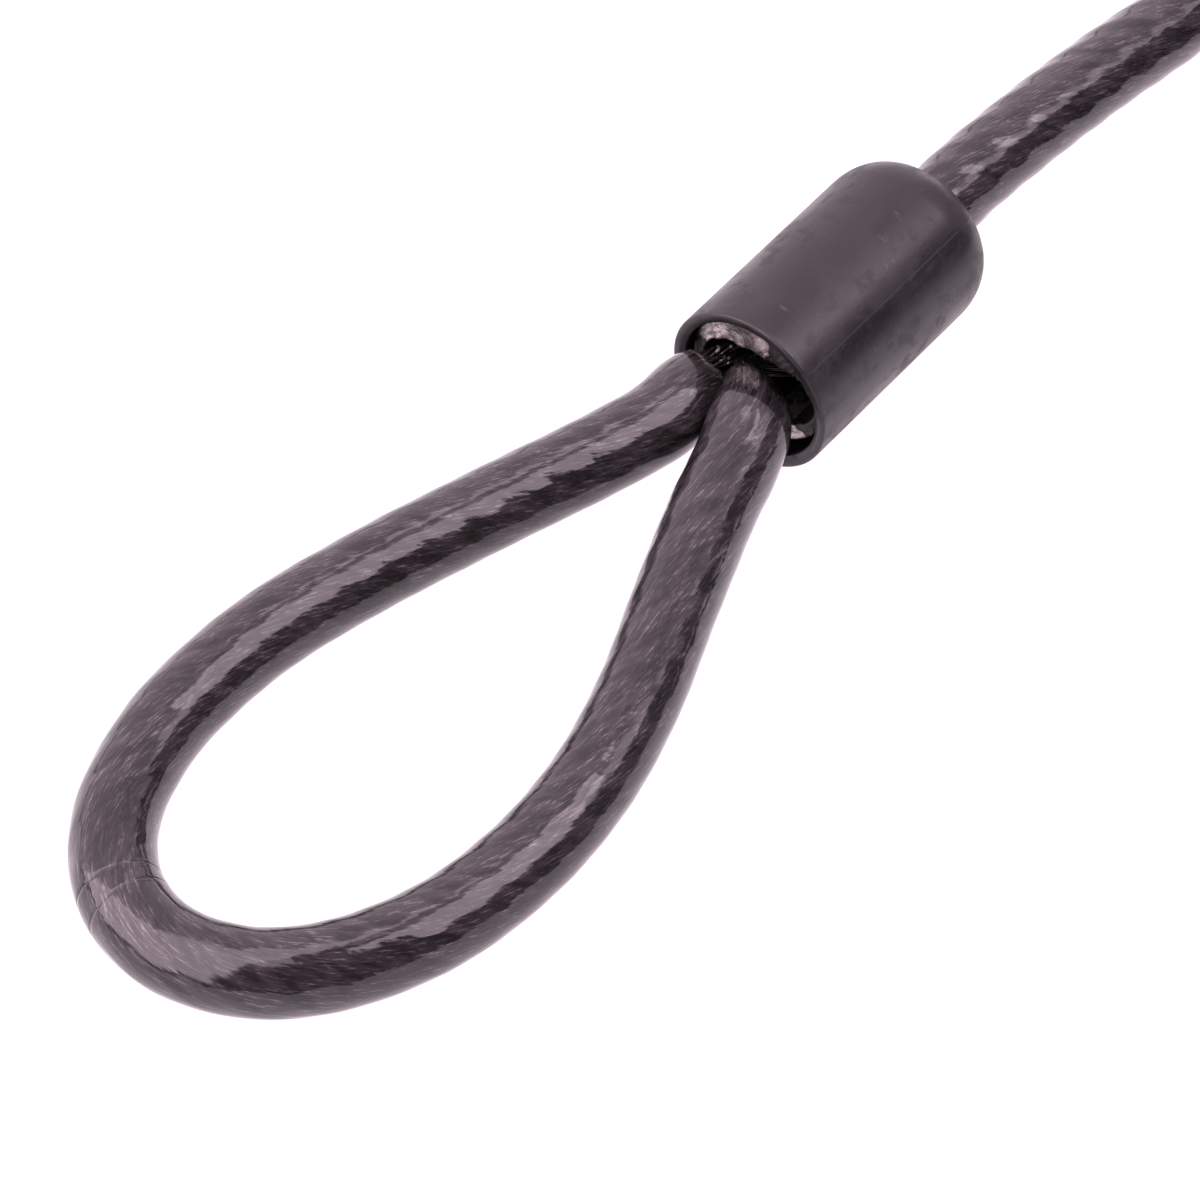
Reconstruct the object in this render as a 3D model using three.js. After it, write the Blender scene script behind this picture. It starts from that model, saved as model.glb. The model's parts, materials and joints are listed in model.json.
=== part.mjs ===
// A looped security cable: coated steel rope with a crimped eye on each end and a moulded sleeve over
// each crimp. Millimetres, +Z up, +X along the near sleeve from its eye towards the free cable.
// The origin is on the floor under the middle of the near end's box.

import * as THREE from 'three';

// Cable
const CABLE_R = 5;
const JACKET_BORE_R = 4.3;
const STRANDS = 6;
const STRAND_R = 1.05;
const STRAND_PITCH_R = 2.6;
const CORE_R = 1;
const LAY = 42;
const ROPE_STEP = 6;
const JACKET_STEP = 5.5;
const CORD_STEP = 20;
const JACKET_SIDES = 10;

// Sleeve and the crimp ferrule in it
const SLEEVE_R = 11.2;
const SLEEVE_LENGTH = 37;
const SLEEVE_BORE_R = 10.2;
const SLEEVE_SIDES = 24;
const SLEEVE_END_WALL = 6;
const SHOULDER_LENGTH = 6.6;
const SHOULDER_HOLE_LIP_R = 5.9;
const EXIT_HOLE_R = 5.6;
const RIM_CHAMFER = 0.35;
const FERRULE_START = 2;
const FERRULE_END = 27;
const FERRULE_HALF_WIDTH = 9.7;
const FERRULE_HALF_HEIGHT = 8.9;
const FERRULE_RAISE = 0.5;
const CHANNEL_R = 4.1;
const LEG_Y = 4.05;

// The sleeve rests on one of its flat facets, so its axis is that far up.
const AXIS_Z = SLEEVE_R * Math.cos(Math.PI / SLEEVE_SIDES);
const GAP = 0.3;

// The eye's centreline in plan, from one leg in the ferrule round to the other. x is from the sleeve's mouth.
const EYE_PLAN = [
  [26.5, LEG_Y], [14, LEG_Y], [4, LEG_Y], [-2.5, 5.2], [-9, 5.9], [-17, 8.7], [-32, 14.3], [-47, 19.3],
  [-60, 23.5], [-70, 25], [-81, 24], [-93, 19.4], [-100.5, 12.2], [-103.2, 3.4], [-101, -5.6], [-95, -12.8],
  [-84, -18.7], [-71, -21.2], [-58, -20.7], [-45, -17.4], [-30, -12], [-17, -7.6], [-9, -5.8], [-2.5, -5.2],
  [4, -LEG_Y], [14, -LEG_Y], [26.5, -LEG_Y],
];
const EYE_END_X = -103.2;
const EYE_DROOP_POWER = 1.5;
const JACKET_END_X = -1.5;

// The free cable: a run from the near sleeve, a coil of two and a half turns, and a run to the far sleeve.
// x and y are from the near sleeve's mouth.
const COIL_X = 153;
const COIL_Y = -57;
const COIL_INNER_R = 40;
const COIL_OUTER_R = 60;
const COIL_BOTTOM = 1.2;
const COIL_HEIGHT = 18.7;
const COIL_SIDES = 48;
const LEAD = [
  [27.5, 0, AXIS_Z], [37, 0, AXIS_Z], [45, 0, 10.8], [58, -0.3, 9.6], [72, -0.9, 8.2], [87, -1.6, 7],
  [103, -2, 6.3], [119, -2, 6.2],
];
const TAIL = [[113.6, -111.5, 11.4], [109, -112, AXIS_Z], [99.5, -112, AXIS_Z]];
const FAR_MOUTH_X = 72;
const FAR_MOUTH_Y = -112;

// Straps that tie the coil
const TIE_WIDTH = 12;
const TIE_THICKNESS = 0.9;
const TIE_INNER_GAP = 0.8;

const vinyl = new THREE.MeshStandardMaterial({ color: 0x3d353b, roughness: 0.3, metalness: 0 });
const steel = new THREE.MeshStandardMaterial({ color: 0xa8a6a8, roughness: 0.35, metalness: 1 });
const plastic = new THREE.MeshStandardMaterial({ color: 0x3f3a3f, roughness: 0.5, metalness: 0 });
const alloy = new THREE.MeshStandardMaterial({ color: 0x9d958f, roughness: 0.45, metalness: 1 });
const webbing = new THREE.MeshStandardMaterial({ color: 0x232225, roughness: 0.9, metalness: 0 });

function named(name, geometry, material) {
  const mesh = new THREE.Mesh(geometry, material);
  mesh.name = name;
  return mesh;
}

function legHeight(x) {
  const along = Math.min(1, Math.max(0, (x - EYE_END_X) / -EYE_END_X));
  return CABLE_R + (AXIS_Z - CABLE_R) * along ** EYE_DROOP_POWER;
}

const eyePoints = EYE_PLAN.map(([x, y]) => new THREE.Vector3(x, y, legHeight(x)));
const eyeCurve = new THREE.CatmullRomCurve3(eyePoints, false, 'centripetal');

// A curve offset from another by a radius that turns round it, right-handed, once in every lay.
class StrandCurve extends THREE.Curve {
  constructor(centre, radius, phase) {
    super();
    this.centre = centre;
    this.radius = radius;
    this.phase = phase;
    this.turns = (2 * Math.PI * centre.getLength()) / LAY;
  }

  getPoint(t, target = new THREE.Vector3()) {
    const along = this.centre.getTangentAt(t);
    const side = new THREE.Vector3(0, 0, 1).cross(along).normalize();
    const up = along.clone().cross(side);
    const angle = this.phase + this.turns * t;
    return target
      .copy(this.centre.getPointAt(t))
      .addScaledVector(side, this.radius * Math.cos(angle))
      .addScaledVector(up, this.radius * Math.sin(angle));
  }

  // Stations follow the centreline, so the strands keep level with each other.
  getUtoTmapping(u) {
    return u;
  }
}

// The part of the eye's curve between the jacket's two ends.
class JacketCurve extends THREE.Curve {
  constructor(centre, endX) {
    super();
    this.centre = centre;
    this.from = this.crossing(endX, 0, 0.5);
    this.to = this.crossing(endX, 1, 0.5);
  }

  crossing(x, sleeveSide, eyeSide) {
    let near = sleeveSide;
    let far = eyeSide;
    for (let i = 0; i < 40; i += 1) {
      const middle = (near + far) / 2;
      if (this.centre.getPointAt(middle).x > x) near = middle;
      else far = middle;
    }
    return near;
  }

  getPoint(t, target = new THREE.Vector3()) {
    return target.copy(this.centre.getPointAt(this.from + (this.to - this.from) * t));
  }

  getUtoTmapping(u) {
    return u;
  }
}

function ring(radius, sides) {
  return Array.from({ length: sides }, (_, i) => {
    const angle = (2 * Math.PI * i) / sides;
    return new THREE.Vector2(radius * Math.cos(angle), radius * Math.sin(angle));
  });
}

function tube(path, step, radius, sides, boreRadius = 0) {
  const section = new THREE.Shape(ring(radius, sides));
  if (boreRadius) section.holes.push(new THREE.Path(ring(boreRadius, sides)));
  const steps = Math.max(2, Math.round(path.getLength() / step));
  return new THREE.ExtrudeGeometry(section, { steps, extrudePath: path });
}

function smooth(points) {
  return new THREE.CatmullRomCurve3(points.map((p) => new THREE.Vector3(...p)), false, 'centripetal');
}

// A cap that is open at the mouth, x = 0, and rounded over round the hole that the cable leaves by.
function sleeveGeometry() {
  const shoulder = Array.from({ length: 7 }, (_, i) => {
    const angle = (Math.PI / 2) * (i / 6);
    return [
      SHOULDER_HOLE_LIP_R + (SLEEVE_R - SHOULDER_HOLE_LIP_R) * Math.cos(angle),
      SLEEVE_LENGTH - SHOULDER_LENGTH * (1 - Math.sin(angle)),
    ];
  });
  const profile = [
    [SLEEVE_BORE_R, 0],
    [SLEEVE_R - RIM_CHAMFER, 0],
    [SLEEVE_R, RIM_CHAMFER],
    ...shoulder,
    [EXIT_HOLE_R, SLEEVE_LENGTH],
    [EXIT_HOLE_R, SLEEVE_LENGTH - SLEEVE_END_WALL],
    [SLEEVE_BORE_R, SLEEVE_LENGTH - SLEEVE_END_WALL],
    [SLEEVE_BORE_R, 0],
  ].map(([r, x]) => new THREE.Vector2(r, x));
  const halfFacet = Math.PI / SLEEVE_SIDES;
  const geometry = new THREE.LatheGeometry(profile, SLEEVE_SIDES, halfFacet, 2 * Math.PI);
  return geometry.rotateZ(-Math.PI / 2);
}

// A pressed oval block round the two legs of the rope.
function ferruleGeometry() {
  const outline = Array.from({ length: 28 }, (_, i) => {
    const angle = (2 * Math.PI * i) / 28;
    return new THREE.Vector2(FERRULE_HALF_HEIGHT * Math.cos(angle), FERRULE_HALF_WIDTH * Math.sin(angle));
  });
  const channel = new THREE.Path();
  channel.absarc(-FERRULE_RAISE, LEG_Y, CHANNEL_R, 0, Math.PI, false);
  channel.absarc(-FERRULE_RAISE, -LEG_Y, CHANNEL_R, Math.PI, 2 * Math.PI, false);
  const section = new THREE.Shape(outline);
  section.holes.push(channel);
  const block = new THREE.ExtrudeGeometry(section, {
    depth: FERRULE_END - FERRULE_START,
    bevelEnabled: false,
    curveSegments: 8,
  });
  return block.rotateY(-Math.PI / 2).translate(FERRULE_END, 0, FERRULE_RAISE);
}

// One end of the cable: the eye and what holds it, with the sleeve's mouth at x = y = 0.
function cableEnd(side) {
  const end = new THREE.Group();
  const sleeve = named(`${side}_sleeve`, sleeveGeometry(), plastic);
  sleeve.position.z = AXIS_Z;
  const ferrule = named(`${side}_ferrule`, ferruleGeometry(), alloy);
  ferrule.position.z = AXIS_Z;
  const jacketPath = new JacketCurve(eyeCurve, JACKET_END_X);
  const jacket = tube(jacketPath, JACKET_STEP, CABLE_R, JACKET_SIDES, JACKET_BORE_R);
  end.add(sleeve, ferrule, named(`${side}_loop_jacket`, jacket, vinyl));
  end.add(named(`${side}_rope_core`, tube(eyeCurve, ROPE_STEP, CORE_R, 6), steel));
  for (let i = 0; i < STRANDS; i += 1) {
    const path = new StrandCurve(eyeCurve, STRAND_PITCH_R, (2 * Math.PI * i) / STRANDS);
    end.add(named(`${side}_rope_strand_${i + 1}`, tube(path, ROPE_STEP, STRAND_R, 5), steel));
  }
  return end;
}

// The outer shape of the coiled turns.
function coilGeometry() {
  const top = COIL_BOTTOM + COIL_HEIGHT;
  const profile = [
    [COIL_INNER_R, COIL_BOTTOM],
    [COIL_OUTER_R, COIL_BOTTOM],
    [COIL_OUTER_R, top],
    [COIL_INNER_R, top],
    [COIL_INNER_R, COIL_BOTTOM],
  ].map(([r, z]) => new THREE.Vector2(r, z));
  return new THREE.LatheGeometry(profile, COIL_SIDES).rotateX(Math.PI / 2);
}

function rectangle(Path, lowR, highR, low, high) {
  return new Path([
    new THREE.Vector2(lowR, low),
    new THREE.Vector2(highR, low),
    new THREE.Vector2(highR, high),
    new THREE.Vector2(lowR, high),
  ]);
}

// A strap round the coil's section, with a flat underside on the floor.
function tieGeometry() {
  const innerR = COIL_INNER_R - TIE_INNER_GAP;
  const outerR = COIL_OUTER_R + GAP;
  const low = TIE_THICKNESS;
  const high = COIL_BOTTOM + COIL_HEIGHT + GAP;
  const t = TIE_THICKNESS;
  const section = rectangle(THREE.Shape, innerR - t, outerR + t, low - t, high + t);
  section.holes.push(rectangle(THREE.Path, innerR, outerR, low, high));
  const strap = new THREE.ExtrudeGeometry(section, { depth: TIE_WIDTH, bevelEnabled: false });
  return strap.rotateX(Math.PI / 2).translate(0, TIE_WIDTH / 2, 0);
}

const nearEnd = cableEnd('near');
const farEnd = cableEnd('far');
farEnd.position.set(FAR_MOUTH_X, FAR_MOUTH_Y, 0);

const coil = named('cable_coil', coilGeometry(), vinyl);
coil.position.set(COIL_X, COIL_Y, 0);
const lead = named('cable_lead', tube(smooth(LEAD), CORD_STEP, CABLE_R, JACKET_SIDES), vinyl);
const tail = named('cable_tail', tube(smooth(TAIL), CORD_STEP, CABLE_R, JACKET_SIDES), vinyl);

const ties = [0, 1].map((i) => {
  const tie = named(`coil_tie_${i + 1}`, tieGeometry(), webbing);
  tie.position.set(COIL_X, COIL_Y, 0);
  tie.rotation.z = Math.PI * i;
  return tie;
});

const part = new THREE.Group();
part.add(nearEnd, farEnd, lead, coil, tail, ...ties);
const nearBox = new THREE.Box3().setFromObject(nearEnd);
const nearMiddle = nearBox.getCenter(new THREE.Vector3());
part.position.set(-nearMiddle.x, -nearMiddle.y, -nearBox.min.z);

export default part;
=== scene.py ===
"""A looped security cable on a pale floor: the near eye, its sleeve and the cable that leaves it, with
the spare length tied in a coil and the far eye lying out of view. Metres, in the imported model's frame."""

import json
import math

import bpy
import numpy as np
from mathutils import Vector
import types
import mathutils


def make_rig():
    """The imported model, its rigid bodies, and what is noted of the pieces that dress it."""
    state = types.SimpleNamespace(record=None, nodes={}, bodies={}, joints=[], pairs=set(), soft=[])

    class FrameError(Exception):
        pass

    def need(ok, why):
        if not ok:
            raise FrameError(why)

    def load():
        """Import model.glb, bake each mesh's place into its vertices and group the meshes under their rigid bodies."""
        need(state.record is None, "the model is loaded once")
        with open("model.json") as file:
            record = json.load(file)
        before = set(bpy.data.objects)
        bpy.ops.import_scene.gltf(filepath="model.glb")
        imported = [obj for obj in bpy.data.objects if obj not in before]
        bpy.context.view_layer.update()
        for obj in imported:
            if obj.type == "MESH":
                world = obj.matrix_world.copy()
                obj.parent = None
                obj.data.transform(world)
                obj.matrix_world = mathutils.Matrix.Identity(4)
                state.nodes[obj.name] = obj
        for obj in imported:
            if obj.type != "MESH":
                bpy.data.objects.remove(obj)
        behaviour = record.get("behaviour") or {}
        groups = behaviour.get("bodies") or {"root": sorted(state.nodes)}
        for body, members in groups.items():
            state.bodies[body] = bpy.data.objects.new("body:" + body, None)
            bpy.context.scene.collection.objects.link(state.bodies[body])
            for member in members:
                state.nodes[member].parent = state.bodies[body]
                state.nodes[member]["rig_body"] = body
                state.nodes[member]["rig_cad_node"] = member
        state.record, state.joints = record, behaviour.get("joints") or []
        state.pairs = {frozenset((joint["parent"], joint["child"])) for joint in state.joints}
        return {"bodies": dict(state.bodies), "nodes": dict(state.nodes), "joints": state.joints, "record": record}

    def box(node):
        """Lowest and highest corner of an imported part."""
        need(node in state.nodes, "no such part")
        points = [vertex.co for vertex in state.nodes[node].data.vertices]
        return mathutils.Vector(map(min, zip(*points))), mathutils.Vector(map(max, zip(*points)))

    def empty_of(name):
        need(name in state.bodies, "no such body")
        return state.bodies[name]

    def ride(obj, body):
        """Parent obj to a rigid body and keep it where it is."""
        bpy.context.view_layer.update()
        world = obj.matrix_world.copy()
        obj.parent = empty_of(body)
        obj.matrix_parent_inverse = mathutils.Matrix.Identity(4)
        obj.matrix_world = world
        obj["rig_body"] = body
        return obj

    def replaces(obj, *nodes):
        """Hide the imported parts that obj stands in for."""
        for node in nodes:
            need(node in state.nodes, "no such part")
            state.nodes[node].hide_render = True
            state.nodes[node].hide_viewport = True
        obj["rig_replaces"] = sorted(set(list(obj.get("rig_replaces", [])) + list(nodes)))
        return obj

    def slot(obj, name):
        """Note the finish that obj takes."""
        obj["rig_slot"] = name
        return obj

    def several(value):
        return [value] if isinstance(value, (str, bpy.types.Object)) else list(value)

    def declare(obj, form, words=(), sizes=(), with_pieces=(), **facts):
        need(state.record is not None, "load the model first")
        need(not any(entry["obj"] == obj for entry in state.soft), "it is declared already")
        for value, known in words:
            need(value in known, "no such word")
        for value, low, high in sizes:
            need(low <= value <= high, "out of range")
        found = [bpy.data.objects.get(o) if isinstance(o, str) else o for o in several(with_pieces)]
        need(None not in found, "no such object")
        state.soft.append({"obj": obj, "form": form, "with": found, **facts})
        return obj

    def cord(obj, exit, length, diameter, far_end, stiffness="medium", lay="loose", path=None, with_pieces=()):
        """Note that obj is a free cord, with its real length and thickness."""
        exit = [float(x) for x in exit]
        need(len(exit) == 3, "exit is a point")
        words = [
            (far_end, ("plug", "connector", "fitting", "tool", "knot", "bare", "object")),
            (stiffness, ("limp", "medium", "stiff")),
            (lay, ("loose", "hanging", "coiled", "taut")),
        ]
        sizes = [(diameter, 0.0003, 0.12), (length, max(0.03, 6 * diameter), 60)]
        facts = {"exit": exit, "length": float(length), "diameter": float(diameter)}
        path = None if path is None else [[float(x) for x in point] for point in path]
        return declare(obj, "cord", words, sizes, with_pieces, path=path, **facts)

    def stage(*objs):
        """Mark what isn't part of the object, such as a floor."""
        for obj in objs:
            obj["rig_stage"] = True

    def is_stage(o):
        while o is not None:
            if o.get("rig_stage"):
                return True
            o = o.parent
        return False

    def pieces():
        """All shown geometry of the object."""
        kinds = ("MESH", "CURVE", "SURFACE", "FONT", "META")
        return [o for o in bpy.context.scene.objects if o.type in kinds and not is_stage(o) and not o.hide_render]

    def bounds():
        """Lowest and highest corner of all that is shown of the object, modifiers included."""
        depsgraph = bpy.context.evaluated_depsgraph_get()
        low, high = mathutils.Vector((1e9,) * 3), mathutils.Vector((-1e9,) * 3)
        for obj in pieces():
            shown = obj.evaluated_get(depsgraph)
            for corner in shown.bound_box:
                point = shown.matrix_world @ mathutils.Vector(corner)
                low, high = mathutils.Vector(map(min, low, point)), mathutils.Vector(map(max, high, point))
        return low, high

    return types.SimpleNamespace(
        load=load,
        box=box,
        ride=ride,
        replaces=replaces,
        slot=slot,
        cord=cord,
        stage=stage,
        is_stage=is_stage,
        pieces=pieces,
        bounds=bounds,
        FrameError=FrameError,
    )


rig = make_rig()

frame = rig.load()
cad_low, cad_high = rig.bounds()

MM = 0.001
SIDES = ("near", "far")

# The jacketed rope, and the lengths in which its strands, and the pale hairs seen in the jacket, make a turn
CABLE_R = 5 * MM
STRANDS = 6
LAY = 36 * MM
HAIR_LAY = 120 * MM

# The sleeve's axis above the floor, its length, and the legs' places beside its axis, in millimetres
AXIS_HEIGHT = 11.1
SLEEVE_LENGTH = 37
LEG_Y = 4.05

# The middles of the sleeves' mouths
MOUTH = {}
for side in SIDES:
    low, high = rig.box(f"{side}_sleeve")
    MOUTH[side] = np.array([low.x, (low.y + high.y) / 2, (low.z + high.z) / 2])
AXIS_Z = float(MOUTH["near"][2])


def mouth_frame(side):
    """The place on the floor under a mouth's middle, from which the plans below are measured."""
    return np.array([MOUTH[side][0], MOUTH[side][1], AXIS_Z - AXIS_HEIGHT * MM])


def mouth_middle(side):
    return mouth_frame(side) + np.array([0, 0, AXIS_HEIGHT * MM])


# ---------------------------------------------------------------- camera
CAMERA_AZIMUTH = math.radians(217.43)
CAMERA_ELEVATION = math.radians(47.79)
CAMERA_DISTANCE = 718 * MM
CAMERA_LENS = 184.05
AIM = Vector((MOUTH["near"][0] - 33.1 * MM, MOUTH["near"][1] - 3.1 * MM, 5.1 * MM))


def camera():
    data = bpy.data.cameras.new("camera")
    data.lens = CAMERA_LENS
    data.sensor_width = 36
    data.clip_start = 0.01
    data.clip_end = 20
    eye = bpy.data.objects.new("camera", data)
    back = Vector((
        math.cos(CAMERA_ELEVATION) * math.cos(CAMERA_AZIMUTH),
        math.cos(CAMERA_ELEVATION) * math.sin(CAMERA_AZIMUTH),
        math.sin(CAMERA_ELEVATION),
    ))
    eye.location = AIM + back * CAMERA_DISTANCE
    eye.rotation_mode = "QUATERNION"
    eye.rotation_quaternion = (-back).to_track_quat("-Z", "Y")
    bpy.context.scene.collection.objects.link(eye)
    bpy.context.scene.camera = eye


camera()


# ---------------------------------------------------------------- curves
SAMPLES_A_SPAN = 40


def catmull_rom(points, step):
    """Points a step apart along the centripetal Catmull-Rom curve through the given ones."""
    p = np.asarray(points, float)
    p = np.vstack([2 * p[0] - p[1], p, 2 * p[-1] - p[-2]])
    knots = np.concatenate([[0], np.cumsum(np.linalg.norm(np.diff(p, axis=0), axis=1) ** 0.5)])
    line = []
    for i in range(1, len(p) - 2):
        t0, t1, t2, t3 = knots[i - 1 : i + 3]
        t = np.linspace(t1, t2, SAMPLES_A_SPAN, endpoint=False)[:, None]
        a1 = (t1 - t) / (t1 - t0) * p[i - 1] + (t - t0) / (t1 - t0) * p[i]
        a2 = (t2 - t) / (t2 - t1) * p[i] + (t - t1) / (t2 - t1) * p[i + 1]
        a3 = (t3 - t) / (t3 - t2) * p[i + 1] + (t - t2) / (t3 - t2) * p[i + 2]
        b1 = (t2 - t) / (t2 - t0) * a1 + (t - t0) / (t2 - t0) * a2
        b2 = (t3 - t) / (t3 - t1) * a2 + (t - t1) / (t3 - t1) * a3
        line.append((t2 - t) / (t2 - t1) * b1 + (t - t1) / (t2 - t1) * b2)
    line.append(p[-2][None])
    return respaced(np.concatenate(line), step)


def respaced(line, step):
    """The same line through evenly spaced points."""
    along = distances(line)
    count = max(2, round(along[-1] / step) + 1)
    at = np.linspace(0, along[-1], count)
    return np.stack([np.interp(at, along, line[:, k]) for k in range(3)], axis=1)


def distances(line):
    """How far along the line each of its points is."""
    return np.concatenate([[0], np.cumsum(np.linalg.norm(np.diff(line, axis=0), axis=1))])


def frames(line):
    """Tangent, side and up at each point: side is level, and up is square to both."""
    tangent = np.gradient(line, axis=0)
    tangent /= np.linalg.norm(tangent, axis=1, keepdims=True)
    side = np.cross([0, 0, 1], tangent)
    side /= np.linalg.norm(side, axis=1, keepdims=True)
    return tangent, side, np.cross(tangent, side)


def smoothstep(x, low, high):
    t = np.clip((x - low) / (high - low), 0, 1)
    return t * t * (3 - 2 * t)


# ---------------------------------------------------------------- the free cord's route
# Plan and height from the near sleeve's mouth, in millimetres. The lead leaves the sleeve nearly level and
# comes down to the coil, and the tail climbs off the coil to the far sleeve.
COIL_X, COIL_Y, COIL_Z = 153, -57, 6.3
LEAD = [
    (27.5, 0, 11.1), (37, 0.1, 11.3), (45, 0.1, 11.5), (58, -0.7, 11.4), (72, -1.95, 10.9), (87, -3.4, 9.8),
    (103, -3.5, 8.4), (119, -2.4, 7.0), (136, -2, 6.3),
]
TAIL = [
    (143, -107.3, 16.1), (134, -108.5, 16.6), (123, -110.5, 14.6), (114, -111.9, 11.8), (109, -112, 11.1),
    (99.5, -112, 11.1),
]
OUTER_TURN_R = 55
TURN_GAP = 10.2
TURN_POINTS = 24
COIL_TURNS = 2.5
# In turns from the start of the coil
INWARD_FROM = 0.8
CLIMB_FROM, CLIMB_TO = 1.56, 1.8


def first_turn_radius(turns):
    """The outer turn moves inwards in its last fifth, to become the inner one."""
    return OUTER_TURN_R - TURN_GAP * smoothstep(turns, INWARD_FROM, 1.0)


def coil_route():
    """Two turns side by side, then one that climbs into the groove between them and leaves on top."""
    route = []
    for i in range(1, round(TURN_POINTS * COIL_TURNS)):
        turns = i / TURN_POINTS
        round_outer = math.pi * (1 - smoothstep(turns, CLIMB_FROM, CLIMB_TO) / 3)
        r = OUTER_TURN_R + TURN_GAP * math.cos(round_outer) if turns > 1 else first_turn_radius(turns)
        lift = TURN_GAP * math.sin(round_outer)
        if turns > CLIMB_TO:
            lift = math.sqrt(TURN_GAP**2 - (r - first_turn_radius(turns - 1)) ** 2)
        angle = math.pi / 2 - 2 * math.pi * turns
        route.append((COIL_X + r * math.cos(angle), COIL_Y + r * math.sin(angle), COIL_Z + lift))
    return route


CORD_STEP = 1.0 * MM
ORIGIN = mouth_frame("near")
cord_path = catmull_rom(np.array(LEAD + coil_route() + TAIL) * MM + ORIGIN, CORD_STEP)
CORD_LENGTH = 0.97
CORD_EXIT = ORIGIN + np.array([SLEEVE_LENGTH, 0, AXIS_HEIGHT]) * MM


# ---------------------------------------------------------------- meshes
def mesh_object(name, points, faces, material, attributes=None, smooth=True):
    mesh = bpy.data.meshes.new(name)
    mesh.from_pydata(points.tolist(), [], faces.tolist() if hasattr(faces, "tolist") else faces)
    mesh.validate()
    if smooth:
        mesh.shade_smooth()
    for key, values in (attributes or {}).items():
        layer = mesh.attributes.new(key, "FLOAT_VECTOR", "POINT")
        layer.data.foreach_set("vector", np.asarray(values, np.float32).ravel())
    mesh.materials.append(material)
    obj = bpy.data.objects.new(name, mesh)
    bpy.context.scene.collection.objects.link(obj)
    return obj


def spread(shape, *values):
    """Three values for each point of a grid, from ones that may be alike along its rows or columns."""
    return np.stack([np.broadcast_to(v, shape) for v in values], -1).reshape(-1, 3)


def grid_faces(rows, columns):
    """Quads of a grid of points, rows by columns, closed round its columns."""
    i = np.arange(rows - 1)[:, None]
    j = np.arange(columns)[None, :]
    k = (j + 1) % columns
    quads = np.stack([i * columns + j, i * columns + k, (i + 1) * columns + k, (i + 1) * columns + j], -1)
    return quads.reshape(-1, 4)


def capped(points, rows, columns):
    """A swept grid of points and its faces, with a point in the middle of each end to close it."""
    first, last = points[:columns].mean(0), points[-columns:].mean(0)
    base = (rows - 1) * columns
    n = len(points)
    ring = [(a, (a + 1) % columns) for a in range(columns)]
    ends = [(b, a, n) for a, b in ring] + [(base + a, base + b, n + 1) for a, b in ring]
    return np.vstack([points, first, last]), grid_faces(rows, columns).tolist() + ends


def swept(name, line, radius, around, material):
    """A closed round body along a line. radius takes the angle that follows the rope's lay, the angle round
    the section and the distance along. Two attributes, lay and wires, give the materials the place round
    the section as it follows the strands or the hairs, and the distance along in millimetres."""
    _, side, up = frames(line)
    along = distances(line)[:, None]
    angle = (2 * math.pi * np.arange(around) / around)[None, :]
    lay_angle = angle - 2 * math.pi * along / LAY
    r = radius(lay_angle, angle, along)
    across, above = r * np.cos(angle), r * np.sin(angle)
    points = line[:, None] + across[..., None] * side[:, None] + above[..., None] * up[:, None]
    points, faces = capped(points.reshape(-1, 3), len(line), around)
    ends = np.array([[1, 0, 0], [1, 0, along[-1, 0] / MM]])
    attributes = {}
    for key, turned in (("lay", lay_angle), ("wires", angle - 2 * math.pi * along / HAIR_LAY)):
        attributes[key] = np.vstack([spread(turned.shape, np.cos(turned), np.sin(turned), along / MM), ends])
    return mesh_object(name, points, faces, material, attributes)


# ---------------------------------------------------------------- materials
class Tree:
    """A node tree, with short calls for the nodes that the materials and the light use."""

    def __init__(self, tree):
        self.tree = tree

    def node(self, kind, inputs=None, **settings):
        made = self.tree.nodes.new(kind)
        for key, value in settings.items():
            setattr(made, key, value)
        for socket, value in (inputs or {}).items():
            self.feed(made.inputs[socket], value)
        return made

    def feed(self, socket, value):
        if isinstance(value, bpy.types.NodeSocket):
            self.tree.links.new(value, socket)
        else:
            socket.default_value = value

    def attribute(self, name):
        return self.node("ShaderNodeAttribute", attribute_name=name).outputs["Vector"]

    def position(self):
        return self.node("ShaderNodeTexCoord").outputs["Object"]

    def xyz(self, vector):
        return self.node("ShaderNodeSeparateXYZ", {0: vector}).outputs

    def scaled(self, vector, scale):
        made = self.node("ShaderNodeVectorMath", {0: vector, 1: scale}, operation="MULTIPLY")
        return made.outputs["Vector"]

    def noise(self, vector, scale, detail=2.0, roughness=0.5, distortion=0.0):
        made = self.node("ShaderNodeTexNoise", {
            "Vector": vector, "Scale": scale, "Detail": detail, "Roughness": roughness,
            "Distortion": distortion,
        })
        return made.outputs["Fac"]

    def bands(self, vector, scale, direction):
        made = self.node(
            "ShaderNodeTexWave", {"Vector": vector, "Scale": scale, "Distortion": 0.3},
            bands_direction=direction,
        )
        return made.outputs["Fac"]

    def ramp(self, factor, low, high, from_value=0.0, to_value=1.0):
        made = self.node("ShaderNodeMapRange", {
            "Value": factor, "From Min": low, "From Max": high, "To Min": from_value, "To Max": to_value,
        }, interpolation_type="SMOOTHSTEP")
        return made.outputs["Result"]

    def maths(self, operation, *values):
        return self.node("ShaderNodeMath", dict(enumerate(values)), operation=operation).outputs["Value"]

    def plus(self, a, b, share=1.0):
        """a + share * b"""
        return self.maths("ADD", a, self.maths("MULTIPLY", b, share))

    def mix(self, factor, a, b):
        made = self.node("ShaderNodeMix", {"Factor": factor, 6: a, 7: b}, data_type="RGBA")
        return made.outputs[2]

    def bump(self, height, strength, distance):
        made = self.node("ShaderNodeBump", {"Height": height, "Strength": strength, "Distance": distance})
        return made.outputs["Normal"]


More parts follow.
